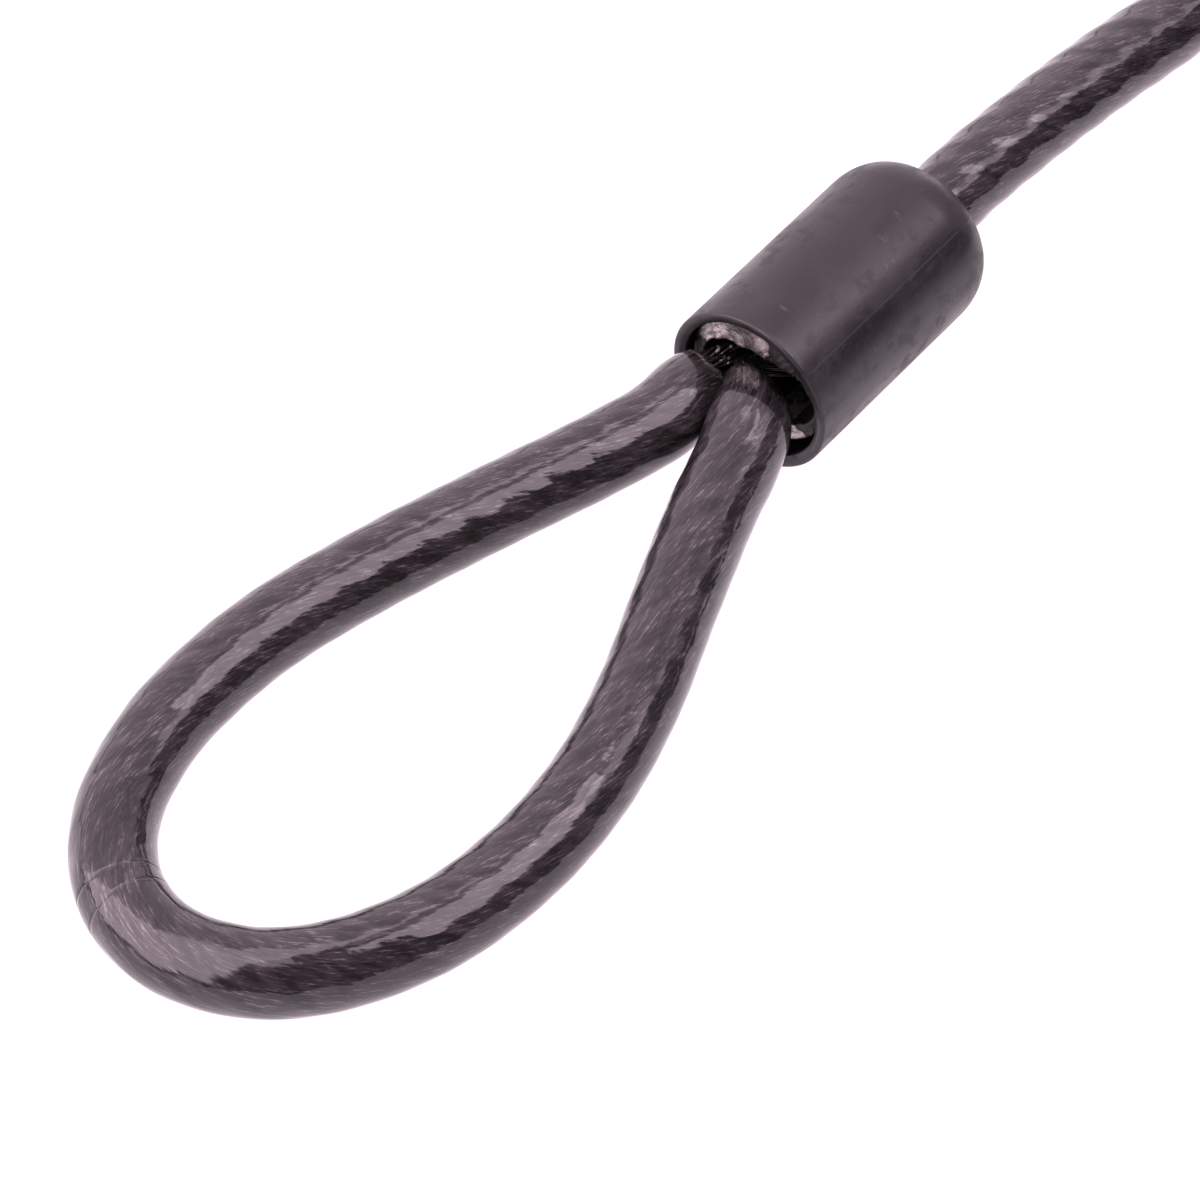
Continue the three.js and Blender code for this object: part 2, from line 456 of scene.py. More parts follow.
class Surface(Tree):
    """A material, given by the constants of its shader's own sockets."""

    def __init__(self, name, **surface):
        self.material = bpy.data.materials.new(name)
        self.material.use_nodes = True
        super().__init__(self.material.node_tree)
        self.shader = self.tree.nodes["Principled BSDF"]
        for socket, value in surface.items():
            self.set(socket.replace("_", " "), value)

    def set(self, socket, value):
        self.feed(self.shader.inputs[socket], value)


# How much of the clear coat's relief follows the strands, against the ripple's 1
STRAND_SHOW = 0.09
# Where the pale torn edge of a jacket's cut end starts and is full, in millimetres from the end
TORN_FROM, TORN_TO = 1.3, 0.2


def vinyl(name):
    """Smoked vinyl over wire rope: a dark, partly metallic layer with fine pale hairs along the wires,
    which are painted glints of the wires seen through the vinyl, and darker patches along the strands,
    under a clear coat."""
    m = Surface(
        name, Metallic=0.35, Coat_Weight=1.0, Coat_Roughness=0.04, Coat_IOR=1.5, Specular_IOR_Level=0.1
    )
    lay, wires = m.attribute("lay"), m.attribute("wires")
    hair = m.noise(m.scaled(wires, (5.0, 5.0, 0.075)), 4.6, 3.0, 0.6)
    fine = m.noise(m.scaled(wires, (5.0, 5.0, 0.13)), 11.0, 2.0)
    patch = m.noise(m.scaled(wires, (5.0, 5.0, 0.34)), 0.62, 3.0, 0.6, 0.4)
    strand = m.noise(m.scaled(lay, (5.0, 5.0, 0.30)), 0.75, 2.0, 0.5)
    shade = m.ramp(m.plus(patch, strand, 0.8), 0.72, 1.10)
    dark = m.mix(shade, (0.0075, 0.0056, 0.0062, 1), (0.029, 0.0245, 0.0265, 1))
    # Painted glints: the pale hairs put into the base colour stand in for light off the wires under the vinyl
    glint_hairs = m.maths("MULTIPLY", m.ramp(hair, 0.50, 0.68), m.ramp(fine, 0.38, 0.60))
    bright = m.maths("MULTIPLY", glint_hairs, m.ramp(shade, 0.0, 1.0, 0.3, 0.85))
    body = m.mix(bright, dark, (0.185, 0.164, 0.174, 1))
    shreds = m.ramp(m.noise(m.position(), 1500, 3.0, 0.7), 0.42, 0.60)
    torn = m.maths("MULTIPLY", m.ramp(m.xyz(wires)["Z"], TORN_FROM, TORN_TO), shreds)
    m.set("Base Color", m.mix(torn, body, (0.34, 0.31, 0.31, 1)))
    m.set("Roughness", m.ramp(hair, 0.3, 0.7, 0.50, 0.36))
    m.set("Normal", m.bump(m.plus(hair, patch, 1.5), 0.8, 0.09 * MM))
    ripple = m.noise(m.scaled(wires, (5.0, 5.0, 0.45)), 0.60, 2.0, 0.5, 0.3)
    turned = m.xyz(lay)
    round_section = m.maths("ARCTAN2", turned["Y"], turned["X"])
    strands = m.maths("COSINE", m.maths("MULTIPLY", round_section, STRANDS))
    relief = m.plus(m.plus(ripple, hair, 0.05), strands, STRAND_SHOW)
    m.set("Coat Normal", m.bump(relief, 1.0, 0.085 * MM))
    return m.material


def moulded_plastic(name):
    """Satin black plastic with a fine grain, faint flow lines, smudges and scuffs."""
    m = Surface(name, Specular_IOR_Level=0.5)
    place = m.position()
    grain = m.noise(place, 5200, 2.0)
    flow = m.noise(m.scaled(place, (1.0, 6.0, 6.0)), 90, 4.0, 0.6)
    scuffs = m.ramp(m.noise(m.scaled(place, (1.0, 0.25, 1.6)), 900, 4.0, 0.62, 0.6), 0.63, 0.75)
    smudge = m.ramp(m.noise(place, 120, 3.0), 0.4, 0.7)
    blotch = m.ramp(m.noise(place, 330, 5.0, 0.62), 0.50, 0.62)
    base = m.mix(smudge, (0.0085, 0.0075, 0.0085, 1), (0.014, 0.0125, 0.014, 1))
    m.set("Base Color", m.mix(m.maths("MULTIPLY", scuffs, 0.35), base, (0.10, 0.095, 0.10, 1)))
    worn = m.plus(flow, m.plus(smudge, blotch), 0.4)
    m.set("Roughness", m.ramp(worn, 0.3, 1.4, 0.30, 0.56))
    relief = m.plus(m.maths("MULTIPLY", grain, 0.5), flow, 0.6)
    m.set("Normal", m.bump(relief, 0.35, 0.06 * MM))
    return m.material


def pressed_alloy(name):
    """Dull grey alloy, scratched where the press and the shears have touched it, with painted shade: near
    black over most of its face, standing in for the shade that falls on it."""
    m = Surface(name)
    place = m.position()
    scratches = m.noise(m.scaled(place, (0.6, 1.0, 3.0)), 2600, 3.0, 0.7, 0.4)
    grime = m.ramp(m.noise(place, 620, 4.0, 0.6), 0.36, 0.60)
    shiny = m.ramp(scratches, 0.52, 0.66)
    base = m.mix(grime, (0.16, 0.14, 0.135, 1), (0.56, 0.52, 0.49, 1))
    metal = m.mix(m.maths("MULTIPLY", shiny, 0.6), base, (0.88, 0.85, 0.82, 1))
    # Painted shade: the face goes near black outside the unshaded places, with a ragged edge, standing in for shade
    edge = m.maths("SUBTRACT", m.noise(place, 900, 3.0), 0.5)
    painted_shade = m.ramp(m.plus(m.attribute("painted_shade"), edge, 0.9), 0.45, 0.62)
    m.set("Base Color", m.mix(painted_shade, metal, (0.012, 0.010, 0.010, 1)))
    m.set("Metallic", m.ramp(painted_shade, 0.0, 1.0, 1.0, 0.0))
    m.set("Roughness", m.ramp(scratches, 0.35, 0.65, 0.48, 0.26))
    m.set("Normal", m.bump(scratches, 0.8, 0.10 * MM))
    return m.material


def drawn_steel(name):
    """Wire rope under black grease, bright only where the shears have nicked a wire."""
    m = Surface(name, Metallic=1.0)
    drawn = m.noise(m.scaled(m.attribute("lay"), (4.0, 4.0, 0.1)), 6.0, 2.0)
    nicked = m.ramp(m.noise(m.position(), 850, 2.0), 0.60, 0.66)
    m.set("Base Color", m.mix(nicked, (0.050, 0.042, 0.040, 1), (0.60, 0.58, 0.56, 1)))
    m.set("Roughness", m.ramp(drawn, 0.3, 0.7, 0.28, 0.46))
    m.set("Normal", m.bump(drawn, 0.3, 0.02 * MM))
    return m.material


def woven_strap(name):
    """Black hook-and-loop webbing: a cross weave with a slight fuzz."""
    m = Surface(name, Sheen_Weight=0.06, Sheen_Roughness=0.4, Specular_IOR_Level=0.2)
    weave = m.attribute("weave")
    threads = m.maths("MULTIPLY", m.bands(weave, 0.36, "X"), m.bands(weave, 0.30, "Y"))
    fuzz = m.noise(weave, 3.0, 3.0)
    shade = m.ramp(threads, 0.0, 0.6)
    m.set("Base Color", m.mix(shade, (0.003, 0.003, 0.0035, 1), (0.026, 0.0245, 0.027, 1)))
    m.set("Roughness", m.ramp(fuzz, 0.3, 0.7, 0.75, 0.95))
    m.set("Normal", m.bump(m.plus(threads, fuzz, 0.5), 0.9, 0.20 * MM))
    return m.material


jacket_vinyl = vinyl("smoked_vinyl")
sleeve_plastic = moulded_plastic("satin_plastic")
ferrule_alloy = pressed_alloy("pressed_alloy")
rope_steel = drawn_steel("drawn_steel")
tie_webbing = woven_strap("woven_strap")


# ---------------------------------------------------------------- the eye's centreline
# Plan from the sleeve's mouth, in millimetres, from the dead leg to the live one
EYE_PLAN = [
    (-9, 5.8), (-17, 8.3), (-32, 14.2), (-47, 19.7), (-60, 23.4), (-70, 24.6), (-81, 24.1), (-93.3, 19.9),
    (-101, 12.6), (-103.7, 3.4), (-101.2, -5.7), (-95, -12.7), (-84, -18.5), (-71, -20.9), (-58, -20.4),
    (-45, -17.4), (-30, -12), (-17, -7.5), (-9.4, -5.3),
]
# The eye lies on the floor at its far side and rises to the ferrule's height at the mouth
EYE_END_X = -103.2
EYE_HEIGHT, EYE_RISE, EYE_RISE_POWER = 5, 6.1, 1.5
# Where each leg's jacket ends in the mouth, and how the rope goes on from there into the ferrule
LEG_TIPS = {
    "first": [(-1.1, 5.4, 10.8), (-4.5, 5.7, 10.85)],
    "last": [(-4.6, -3.45, 11.2), (-1, -0.6, 11.8), (0.9, 1.45, 12.5), (1.7, 2.3, 12.9)],
}
ROPE_IN_FERRULE = {
    "first": [(26.5, LEG_Y, AXIS_HEIGHT), (14, LEG_Y, AXIS_HEIGHT), (5, 4.3, 10.9)],
    "last": [(3.4, 0.6, 12.0), (8, -3.2, 11.3), (14, -LEG_Y, AXIS_HEIGHT), (26.5, -LEG_Y, AXIS_HEIGHT)],
}


def eye_points():
    points = []
    for x, y in EYE_PLAN:
        along = min(1, max(0, (x - EYE_END_X) / -EYE_END_X))
        points.append((x, y, EYE_HEIGHT + EYE_RISE * along**EYE_RISE_POWER))
    return LEG_TIPS["first"] + points + LEG_TIPS["last"]


def eye_line(side, step):
    return catmull_rom(np.array(eye_points()) * MM + mouth_frame(side), step)


def rope_line(side, step):
    points = ROPE_IN_FERRULE["first"] + eye_points() + ROPE_IN_FERRULE["last"]
    return catmull_rom(np.array(points) * MM + mouth_frame(side), step)


def refined(line, places, reach, step):
    """The line with extra points close together near the given distances along it."""
    along = distances(line)
    extra = [np.arange(p - reach, p + reach, step) for p in places]
    at = np.unique(np.concatenate([along, *extra]))
    at = at[np.concatenate([[True], np.diff(at) > step / 3])]
    return np.stack([np.interp(at, along, line[:, k]) for k in range(3)], axis=1)


# ---------------------------------------------------------------- the jackets and the free cable
# How deep the jacket sinks between the strands, and how far it stands out over its nominal radius
LEG_WAVE = 0.035 * MM
FREE_WAVE = 0.10 * MM
LEG_SWELL = 0.02 * MM
FREE_SWELL = 0.155 * MM
# The live end tapers to a nose, rounded over at its very tip: shares of the full radius at shares of the
# nose's length, from the tip
NOSE_LENGTH = 9 * MM
NOSE_AT = (0, 0.12, 0.3, 0.5, 0.7, 0.85, 1)
NOSE_SHARE = (0.36, 0.44, 0.60, 0.76, 0.90, 0.97, 1)
NOSE_TIP = 0.16
# The dead end is cut off: rounded over, torn unevenly round its edge and pinched by the mouth
CUT_ROUNDING = 0.7 * MM
CUT_FACE = 0.8
TORN_DEPTH = 0.22
TORN_LENGTH = 1.6 * MM
PINCH = 0.10
PINCH_LENGTH = 7 * MM
# Where the jacket swells a little round the bend: from and to, along the leg, and by what share
SWELLINGS = ((85 * MM, 110 * MM, 0.03), (190 * MM, 215 * MM, 0.02))
# Two faint rings pressed into the bend, as places in plan from the sleeve's mouth
CREASES = ((-100.4, 12.4), (-101.9, 9.7))
CREASE_WIDTH = 0.16 * MM
CREASE_DEPTH = 0.07 * MM
LEG_COLUMNS, FREE_COLUMNS = 72, 48
EYE_STEP = 0.6 * MM
CREASE_REACH, CREASE_STEP = 0.8 * MM, 0.06 * MM


def strand_wave(lay_angle, depth):
    """How far the jacket sinks between the strands."""
    return depth * (0.5 - 0.5 * np.cos(STRANDS * lay_angle))


def rounded(share):
    """The height of a quarter circle, from 0 at its edge to 1."""
    return np.sqrt(1 - (1 - np.clip(share, 0, 1)) ** 2)


def torn_edge(angle):
    """How far back the cut is torn round the section, from about 0 to 1."""
    return 0.5 + 0.25 * np.sin(5 * angle + 0.7) + 0.15 * np.sin(11 * angle) + 0.1 * np.sin(23 * angle + 2)


def nearest_along(line, place):
    return distances(line)[np.argmin(np.linalg.norm(line[:, :2] - place, axis=1))]


def jacket(side):
    line = eye_line(side, EYE_STEP)
    creases = [nearest_along(line, np.array(c) * MM + mouth_frame(side)[:2]) for c in CREASES]
    line = refined(line, creases, CREASE_REACH, CREASE_STEP)
    length = distances(line)[-1]

    def radius(lay_angle, angle, along):
        to_end = np.clip((length - along) / NOSE_LENGTH, 0, 1)
        nose = np.interp(to_end, NOSE_AT, NOSE_SHARE) * rounded(to_end / NOSE_TIP)
        cut = CUT_FACE + (1 - CUT_FACE) * rounded(along / CUT_ROUNDING)
        cut = cut - TORN_DEPTH * torn_edge(angle) * (1 - smoothstep(along, 0, TORN_LENGTH))
        pinch = 1 - PINCH * (1 - smoothstep(along, 0, PINCH_LENGTH))
        swelling = sum(share * smoothstep(along, start, end) for start, end, share in SWELLINGS)
        r = CABLE_R * (1 + swelling) + LEG_SWELL - strand_wave(lay_angle, LEG_WAVE)
        for place in creases:
            r = r - CREASE_DEPTH * np.exp(-(((along - place) / CREASE_WIDTH) ** 2))
        return r * nose * cut * pinch

    return swept(f"{side}_eye_jacket", line, radius, LEG_COLUMNS, jacket_vinyl)


def free_cable():
    def radius(lay_angle, angle, along):
        return CABLE_R + FREE_SWELL - strand_wave(lay_angle, FREE_WAVE)

    return swept("free_cable", cord_path, radius, FREE_COLUMNS, jacket_vinyl)


# ---------------------------------------------------------------- the rope inside
STRAND_PITCH_R = 2.6 * MM
WIRES = 6
WIRE_LAY = 15 * MM
WIRE_R = 0.40 * MM
WIRE_PITCH_R = 0.81 * MM
WIRE_SIDES = 6
ROPE_STEP = 1.6 * MM
# The rope is drawn thinner where it turns into the ferrule: the least share of its size, and the
# distances from that end between which it grows to its full size
FIRST_END_SQUEEZE = (0.78, 24 * MM, 36 * MM)
LAST_END_SQUEEZE = (0.30, 27 * MM, 36 * MM)


def squeeze_to_full(from_end, least, start, end):
    return least + (1 - least) * smoothstep(from_end, start, end)


def bundle(name, line, wires):
    """One body made of several round wires, each given as its centreline and its radius along it."""
    turn = 2 * math.pi * np.arange(WIRE_SIDES) / WIRE_SIDES
    shape = (len(line), WIRE_SIDES)
    lay = spread(shape, np.cos(turn), np.sin(turn), distances(line)[:, None] / MM)
    lay = np.vstack([lay, lay[:2]])
    points, faces = [], []
    for wire_line, r in wires:
        _, side, up = frames(wire_line)
        ring = np.cos(turn)[None, :, None] * side[:, None] + np.sin(turn)[None, :, None] * up[:, None]
        wall = wire_line[:, None] + ring * np.reshape(r, (-1, 1, 1))
        base = sum(len(p) for p in points)
        wire_points, wire_faces = capped(wall.reshape(-1, 3), *shape)
        faces += [tuple(base + v for v in face) for face in wire_faces]
        points.append(wire_points)
    attributes = {"lay": np.vstack([lay] * len(wires))}
    return mesh_object(name, np.vstack(points), faces, rope_steel, attributes)


def rope(side):
    """The strands and the core strand, each with the CAD node that it replaces."""
    line = rope_line(side, ROPE_STEP)
    along = distances(line)
    _, across, up = frames(line)
    squeeze = squeeze_to_full(along, *FIRST_END_SQUEEZE)
    squeeze = squeeze * squeeze_to_full(along[-1] - along, *LAST_END_SQUEEZE)

    def helix(pitch_r, turns, lay):
        angle = 2 * math.pi * (turns + along / lay)
        r = pitch_r * squeeze
        return (r * np.cos(angle))[:, None] * across + (r * np.sin(angle))[:, None] * up

    def strand_wires(centre):
        lines = [centre] + [centre + helix(WIRE_PITCH_R, k / WIRES, -WIRE_LAY) for k in range(WIRES)]
        return [(wire, WIRE_R * squeeze) for wire in lines]

    pieces = []
    for i in range(STRANDS):
        wires = strand_wires(line + helix(STRAND_PITCH_R, i / STRANDS, LAY))
        pieces.append((bundle(f"{side}_strand_{i + 1}", line, wires), f"{side}_rope_strand_{i + 1}"))
    pieces.append((bundle(f"{side}_core_strand", line, strand_wires(line)), f"{side}_rope_core"))
    return pieces


# ---------------------------------------------------------------- sleeves and ferrules
# The sleeve, in millimetres
SLEEVE_R = 11.2
BORE_R = 10.15
MOUTH_LIP_R = 9.7
RIM_R = 0.34
BODY_FROM = 1.2
SHOULDER_LENGTH = 6.6
SHOULDER_REACH = 6.3
SHOULDER_DROP = 4.9
SHOULDER_FULLNESS = 0.86
EXIT_R = 5.6
EXIT_LIP_R = 0.35
END_WALL = 6
EXIT_CORNER, BORE_CORNER = 0.3, 0.6
# Its wall is very slightly oval
OVAL = 0.003
OVAL_ANGLE = 0.6
# The two fine parting lines, which run from behind the rim until the shoulder has dropped by SEAM_DROP
SEAM_ANGLES = (math.radians(139), math.radians(-41))
SEAM_HEIGHT = 0.03
SEAM_WIDTH = 0.13
SEAM_FROM = 0.5
SEAM_DROP = 3
SLEEVE_COLUMNS = 120


def arc(centre_x, centre_r, radius, start, end, count):
    """Profile points (x, r) on an arc, angles in degrees from +x towards +r."""
    turn = np.radians(np.linspace(start, end, count))
    return [(centre_x + radius * math.cos(t), centre_r + radius * math.sin(t)) for t in turn]


def sleeve_profile():
    """Round the sleeve's wall from its mouth: rim, body, shoulder, exit, then back along the bore. Also
    how many of the points are on the outside."""
    shoulder = SLEEVE_LENGTH - SHOULDER_LENGTH
    points = arc(RIM_R, SLEEVE_R - RIM_R, RIM_R, 180, 90, 7)
    points += [(x, SLEEVE_R) for x in np.linspace(BODY_FROM, shoulder, 40)]
    for t in np.radians(np.linspace(88, 6, 24)):
        drop = SHOULDER_DROP * (1 - math.sin(t) ** SHOULDER_FULLNESS)
        points.append((shoulder + SHOULDER_REACH * math.cos(t), SLEEVE_R - drop))
    points += arc(SLEEVE_LENGTH - EXIT_LIP_R, EXIT_R + EXIT_LIP_R, EXIT_LIP_R, 20, -90, 7)
    outside = len(points)
    wall, a, b = SLEEVE_LENGTH - END_WALL, EXIT_CORNER, BORE_CORNER
    points += [(wall + a, EXIT_R), (wall, EXIT_R + a), (wall, BORE_R - b), (wall - b, BORE_R)]
    points += [(x, BORE_R) for x in np.linspace(wall - 3, 1.5, 12)]
    # The lip just inside the rim
    points += [(1.35, BORE_R - 0.05), (1.25, BORE_R - 0.3), (1.0, MOUTH_LIP_R), (0.45, MOUTH_LIP_R)]
    points += [(0.32, MOUTH_LIP_R + 0.08), (0.16, MOUTH_LIP_R + 0.42), (0.02, MOUTH_LIP_R + 0.55)]
    return np.array(points), outside


def angle_from(angle, middle):
    """How far an angle is from another, either way round."""
    return np.abs((angle - middle + math.pi) % (2 * math.pi) - math.pi)


def seam_rise(angle):
    away = [angle_from(angle, seam) * SLEEVE_R for seam in SEAM_ANGLES]
    return sum(SEAM_HEIGHT * np.exp(-((a / SEAM_WIDTH) ** 2)) for a in away)


def sleeve(side):
    profile, outside = sleeve_profile()
    near_seam = np.array([-0.4, -0.2, -0.1, 0, 0.1, 0.2, 0.4]) / SLEEVE_R
    turns = [np.linspace(-math.pi, math.pi, SLEEVE_COLUMNS, endpoint=False)]
    turns += [seam + near_seam for seam in SEAM_ANGLES]
    angle = np.unique(np.concatenate(turns))
    x, r = profile[:, :1], profile[:, 1:]
    seamed = (np.arange(len(profile))[:, None] < outside) & (r > SLEEVE_R - SEAM_DROP) & (x > SEAM_FROM)
    r = r + seamed * seam_rise(angle)
    oval = 1 + OVAL * np.cos(2 * (angle - OVAL_ANGLE))
    points = spread(r.shape, x, r * np.cos(angle) * oval, r * np.sin(angle) / oval)
    rows, columns = r.shape
    faces = grid_faces(rows + 1, columns) % len(points)
    return mesh_object(f"{side}_cable_sleeve", points * MM + mouth_middle(side), faces, sleeve_plastic)


# The ferrule, in millimetres: its oval outside, and the channel that the two legs lie in
FERRULE_HALF_WIDTH = 9.7
FERRULE_HALF_HEIGHT = 8.9
FERRULE_LIFT = 0.5
CHANNEL_R = 4.1
FERRULE_COLUMNS = 144
# Where its face has no painted shade: the middle of each place, and between which angles from there the shade ends
UNSHADED_PLACES = ((math.radians(58), 0.5, 1.0), (math.radians(232), 0.12, 0.3))
# Its wall as rows of (place along the axis, share of the way from channel to outside, lumpiness), down the
# outside, across the ragged face and back along the channel
FERRULE_ROWS = [(x, 1.0, 0) for x in (27, 26.4, 20, 14, 8, 4, 2.9)]
FERRULE_ROWS += [(2.35, 0.97, 0.12)]
FERRULE_ROWS += [(2.1, share, 0.42) for share in (0.9, 0.8, 0.7, 0.6, 0.5, 0.4, 0.3, 0.2, 0.12, 0.05)]
FERRULE_ROWS += [(2.4, 0.0, 0.5)]
FERRULE_ROWS += [(x, 0.0, 0) for x in (3.2, 4.5, 8, 14, 20, 26.4, 27)]


def rough(x, y, z):
    """A repeatable lumpy value from -1 to 1, for metal that was cut and pressed."""
    a = np.sin(1.9 * x + 0.7 * y) * np.cos(1.3 * y - 1.1 * z)
    b = np.sin(4.3 * y + 2.1 * z + 1.7) * np.cos(3.7 * x + 2.9 * z)
    c = np.sin(9.1 * z - 5.3 * y) * np.cos(8.3 * y + 4.4 * z + 0.6)
    return 0.5 * a + 0.32 * b + 0.18 * c


def stadium_radius(angle, half_length, r):
    """Distance from the middle of a stadium, long in y, to its edge."""
    c, s = np.abs(np.cos(angle)), np.abs(np.sin(angle))
    flat = r / np.maximum(s, 1e-6)
    round_end = half_length * c + np.sqrt(np.maximum(r**2 - (half_length * s) ** 2, 0))
    return np.where(flat * c <= half_length, flat, round_end)


def ferrule(side):
    """A pressed block round the two legs: an oval outside, the legs' channel inside, a ragged face."""
    angle = 2 * math.pi * np.arange(FERRULE_COLUMNS) / FERRULE_COLUMNS
    outer = FERRULE_HALF_WIDTH * np.cos(angle), FERRULE_HALF_HEIGHT * np.sin(angle) + FERRULE_LIFT
    channel = stadium_radius(angle, LEG_Y, CHANNEL_R)
    inner = channel * np.cos(angle), channel * np.sin(angle)
    rows = []
    for x, share, lump in FERRULE_ROWS:
        y, z = (a + (b - a) * share for a, b in zip(inner, outer))
        rows.append((x + lump * rough(x, y, z), y, z))
    points = np.stack([np.stack(row, -1) for row in rows]).reshape(-1, 3) * MM + mouth_middle(side)
    faces = grid_faces(len(rows) + 1, FERRULE_COLUMNS) % len(points)
    # How much painted shade each column of the ferrule takes: all of it except near the unshaded places
    shade_cover = [smoothstep(angle_from(angle, middle), start, end) for middle, start, end in UNSHADED_PLACES]
    shade_cover = np.min(shade_cover, axis=0)
    painted_shade = spread((len(rows), FERRULE_COLUMNS), shade_cover, shade_cover, shade_cover)
    return mesh_object(f"{side}_crimp_ferrule", points, faces, ferrule_alloy, {"painted_shade": painted_shade})


# ---------------------------------------------------------------- straps round the coil
STRAP_WIDTH = 12 * MM
STRAP_THICKNESS = 0.85 * MM
STRAP_OVERLAP = 22 * MM
STRAP_CLEARANCE = 0.2 * MM
STRAP_STEP = 0.7 * MM
# The lapped end lifts over the start in its last millimetres before the lap
LAP_LIFT = 1.05
LAP_FROM, LAP_TO = 5 * MM, 0.5 * MM
# The webbing's section: how much thinner its edges are, and its ribs
EDGE_THINNING, EDGE_SHARPNESS = 0.35, 8
RIB_HEIGHT, RIBS = 0.02 * MM, 9
# The strap starts on top of the turns, a little towards the coil's middle
START_LEAN = 0.4
CIRCLE_POINTS = 48
COIL_CENTRE = np.array([COIL_X, COIL_Y, 0]) * MM + ORIGIN
# No turn of the coil comes nearer its axis than this
COIL_INSIDE = 20 * MM


def coil_directions(angle):
    """Outwards from the coil's axis at an angle round it, and across that, along the turns."""
    outward = np.array([math.cos(angle), math.sin(angle), 0])
    return outward, np.array([-outward[1], outward[0], 0])


def turns_at(angle):
    """Where the coil's turns cross a half-plane through its axis, as (distance from the axis, height)."""
    outward, across = coil_directions(angle)
    offset = cord_path - COIL_CENTRE
    places = np.stack([offset @ across, offset @ outward, cord_path[:, 2]], 1)
    found = []
    for a, b in zip(places[:-1], places[1:]):
        if a[0] * b[0] < 0 and a[1] > COIL_INSIDE:
            crossing = a + a[0] / (a[0] - b[0]) * (b - a)
            found.append(crossing[1:])
    return found


def hull(points):
    """The convex outline of points in a plane, anticlockwise."""
    points = sorted(map(tuple, points))

    def half(order):
        chain = []
        for p in order:
            while len(chain) > 1:
                (ax, ay), (bx, by) = chain[-2], chain[-1]
                if (bx - ax) * (p[1] - ay) - (by - ay) * (p[0] - ax) > 0:
                    break
                chain.pop()
            chain.append(p)
        return chain[:-1]

    return np.array(half(points) + half(points[::-1]))


def strap_loop(angle):
    """The tight outline round the turns, evenly spaced from a place on top, closed at its end."""
    turn = 2 * math.pi * np.arange(CIRCLE_POINTS) / CIRCLE_POINTS
    circle = (CABLE_R + STRAP_CLEARANCE) * np.stack([np.cos(turn), np.sin(turn)], -1)
    outline = hull(np.concatenate([centre + circle for centre in turns_at(angle)]))
    start = int(np.argmax(outline[:, 1] - START_LEAN * outline[:, 0]))
    outline = np.roll(outline, -start, axis=0)
    closed = np.vstack([outline, outline[:1]])
    return respaced(np.hstack([closed, np.zeros((len(closed), 1))]), STRAP_STEP)


def strap_section():
    """The webbing's section, as places across it and through it."""
    top = []
    for x in np.linspace(-1, 1, 13):
        through = STRAP_THICKNESS / 2 * (1 - EDGE_THINNING * abs(x) ** EDGE_SHARPNESS)
        top.append((x * STRAP_WIDTH / 2, through + RIB_HEIGHT * math.cos(RIBS * x)))
    return np.array(top + [(x, -through) for x, through in top[::-1]])


def strap(number, angle):
    """A hook-and-loop strap drawn tight round the turns, its end lapped over its start on top."""
    loop = strap_loop(angle)
    length = distances(loop)[-1]
    lap = loop[distances(loop) < STRAP_OVERLAP]
    line = np.vstack([loop[:-1], lap])[:, :2]
    along = np.concatenate([distances(loop)[:-1], length + distances(lap)])
    tangent = np.gradient(line, axis=0)
    tangent /= np.linalg.norm(tangent, axis=1, keepdims=True)
    normal = np.stack([tangent[:, 1], -tangent[:, 0]], -1)
    lift = STRAP_THICKNESS * LAP_LIFT * smoothstep(along, length - LAP_FROM, length + LAP_TO)
    base = line + normal * (lift + STRAP_THICKNESS / 2)[:, None]
    section = strap_section()
    flat = base[:, None] + normal[:, None] * section[None, :, 1:]
    outward, across = coil_directions(angle)
    centre = COIL_CENTRE * (1, 1, 0)
    points = centre + flat[..., :1] * outward + flat[..., 1:] * np.array([0, 0, 1])
    points = (points + section[None, :, :1] * across).reshape(-1, 3)
    rows, columns = len(line), len(section)
    weave = spread((rows, columns), section[:, 0] / MM, along[:, None] / MM, section[:, 1] / MM)
    points, faces = capped(points, rows, columns)
    weave = np.vstack([weave, weave[:2]])
    return mesh_object(f"tie_strap_{number}", points, faces, tie_webbing, {"weave": weave})


# ---------------------------------------------------------------- the pieces and what they ride on
def attach(piece, body, slot, *nodes):
    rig.ride(piece, body)
    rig.slot(piece, slot)
    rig.replaces(piece, *nodes)
    return piece


pieces_of = {}
for side in SIDES:
    pieces_of[side] = [
        attach(jacket(side), "cable", "jacket_vinyl", f"{side}_loop_jacket"),
        *(attach(strand, "cable", "rope_steel", node) for strand, node in rope(side)),
        attach(ferrule(side), "cable", "ferrule_metal", f"{side}_ferrule"),
        attach(sleeve(side), f"{side}_sleeve_body", "sleeve_plastic", f"{side}_sleeve"),
    ]
ties = [
    attach(strap(1, 0), "cable", "tie_webbing", "coil_tie_1"),
    attach(strap(2, math.pi), "cable", "tie_webbing", "coil_tie_2"),
]
cable = attach(free_cable(), "cable", "jacket_vinyl", "cable_lead", "cable_coil", "cable_tail")
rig.cord(
    cable, exit=tuple(CORD_EXIT), length=CORD_LENGTH, diameter=0.010, far_end="fitting", stiffness="stiff",
    lay="coiled", path=[tuple(p) for p in cord_path], with_pieces=pieces_of["far"] + ties,
)


# ---------------------------------------------------------------- floor and light
# The floor glows a little above white, so that it is plain white to look at and lights the cable from
# below with a slight mauve tint
FLOOR_GLOW = (1.0, 0.832, 0.94, 1)
FLOOR_GLOW_STRENGTH = 1.16
FLOOR_HALF = 4.0


